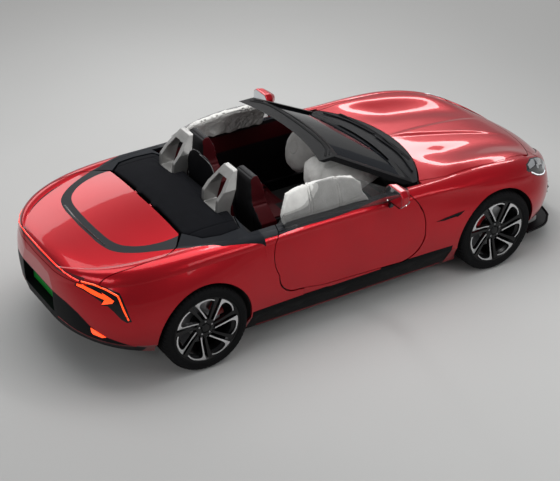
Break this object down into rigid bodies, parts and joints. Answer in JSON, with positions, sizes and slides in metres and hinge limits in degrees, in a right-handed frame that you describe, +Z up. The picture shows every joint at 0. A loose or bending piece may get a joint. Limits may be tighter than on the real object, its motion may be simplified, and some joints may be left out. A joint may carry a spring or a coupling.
{
  "type": "roadster convertible",
  "caption": "Low two-seat electric roadster with its soft top folded, twin roll hoops, opening doors, hood and boot lid, and deployed airbags.",
  "frame": {"origin": "on the ground midway along the car and on its centre plane", "axes": "-Y towards the nose, +Y towards the tail, +Z up, +X towards the car's left side"},
  "size_m": [2.195, 4.535, 1.292],
  "materials": {
    "red_paint": "gloss",
    "black_paint": "gloss",
    "black_trim": "satin",
    "underbody": "matte",
    "roof_cover": "woven",
    "clear_lens": "polished",
    "red_lens": "gloss",
    "tinted_glass": "polished",
    "satin_silver": "satin",
    "dark_alloy": "satin",
    "tyre_rubber": "matte",
    "steel": "machined",
    "cast": "cast",
    "battery": "cast",
    "plate_green": "gloss",
    "seat_leather": "soft",
    "dash_trim": "soft",
    "bag_cloth": "woven"
  },
  "bodies": {
    "body": {"front_fenders": "red_paint", "rear_quarters": "red_paint", "front_bumper": "red_paint", "rear_bumper": "red_paint", "rear_diffuser": "black_trim", "number_plate": "plate_green", "undertray": "underbody", "cowl": "black_trim", "rear_deck": "black_paint", "soft_top_cover": "roof_cover", "headlamps": "clear_lens", "tail_lamps": "red_lens", "side_skirts": "black_trim", "battery_pack": "battery", "floor_pan": "steel", "firewall": "steel", "rear_bulkhead": "steel", "door_hinges": "cast", "windscreen_frame": "black_paint", "windscreen_glass": "tinted_glass", "wheel_liners": "underbody", "front_axle": "cast", "rear_axle": "cast", "drive_motors": "cast", "roll_hoops": "satin_silver", "wind_deflector": "black_trim", "dashboard": "dash_trim", "console": "dash_trim", "seat_cushions": "seat_leather", "seat_backs": "seat_leather", "passenger_airbag": "bag_cloth", "front_splitter": "black_trim"},
    "hood": {"hood": "red_paint"},
    "boot_lid": {"boot_lid": "red_paint", "light_bar": "red_lens"},
    "steering": {"steering_wheel": "seat_leather", "driver_airbag": "bag_cloth"},
    "door_right": {"door_right": "red_paint", "door_glass_right": "tinted_glass", "mirror_right": "red_paint", "curtain_airbag_right": "bag_cloth"},
    "knuckle_front_right": {"knuckle_front_right": "cast"},
    "wheel_front_right": {"rim_front_right": "dark_alloy", "tyre_front_right": "tyre_rubber"},
    "wheel_rear_right": {"rim_rear_right": "dark_alloy", "tyre_rear_right": "tyre_rubber"},
    "door_left": {"door_left": "red_paint", "door_glass_left": "tinted_glass", "mirror_left": "red_paint", "curtain_airbag_left": "bag_cloth"},
    "knuckle_front_left": {"knuckle_front_left": "cast"},
    "wheel_front_left": {"rim_front_left": "dark_alloy", "tyre_front_left": "tyre_rubber"},
    "wheel_rear_left": {"rim_rear_left": "dark_alloy", "tyre_rear_left": "tyre_rubber"}
  },
  "joints": [
    {"name": "hood_hinge", "type": "hinge", "parent": "body", "child": "hood", "pos_m": [0, -0.686, 0.9185], "axis": [-1, 0, 0], "range_deg": [0, 48]},
    {"name": "boot_lid_hinge", "type": "hinge", "parent": "body", "child": "boot_lid", "pos_m": [0, 1.37, 1.016], "axis": [1, 0, 0], "range_deg": [0, 65]},
    {"name": "door_right_hinge", "type": "hinge", "parent": "body", "child": "door_right", "pos_m": [-0.888, -0.5, 0.645], "axis": [0, 0, 1], "range_deg": [0, 62]},
    {"name": "door_left_hinge", "type": "hinge", "parent": "body", "child": "door_left", "pos_m": [0.888, -0.5, 0.645], "axis": [0, 0, -1], "range_deg": [0, 62]},
    {"name": "steer_right", "type": "hinge", "parent": "body", "child": "knuckle_front_right", "pos_m": [-0.74, -1.3425, 0.352], "axis": [0, 0, 1], "range_deg": [-35, 35]},
    {"name": "steer_left", "type": "hinge", "parent": "body", "child": "knuckle_front_left", "pos_m": [0.74, -1.3425, 0.352], "axis": [0, 0, 1], "range_deg": [-35, 35]},
    {"name": "steering_wheel_turn", "type": "hinge", "parent": "body", "child": "steering", "pos_m": [0.37, -0.33, 0.8], "axis": [0, 0.9063, 0.4226], "range_deg": [-455, 455]},
    {"name": "spin_front_right", "type": "hinge", "parent": "knuckle_front_right", "child": "wheel_front_right", "pos_m": [-0.796, -1.3425, 0.352], "axis": [1, 0, 0], "continuous": true},
    {"name": "spin_front_left", "type": "hinge", "parent": "knuckle_front_left", "child": "wheel_front_left", "pos_m": [0.796, -1.3425, 0.352], "axis": [1, 0, 0], "continuous": true},
    {"name": "spin_rear_right", "type": "hinge", "parent": "body", "child": "wheel_rear_right", "pos_m": [-0.796, 1.3475, 0.352], "axis": [1, 0, 0], "continuous": true},
    {"name": "spin_rear_left", "type": "hinge", "parent": "body", "child": "wheel_rear_left", "pos_m": [0.796, 1.3475, 0.352], "axis": [1, 0, 0], "continuous": true}
  ],
  "couplings": [
    {"joint": "steer_left", "follows": "steer_right", "ratio": 1},
    {"joint": "steering_wheel_turn", "follows": "steer_right", "ratio": 13}
  ]
}
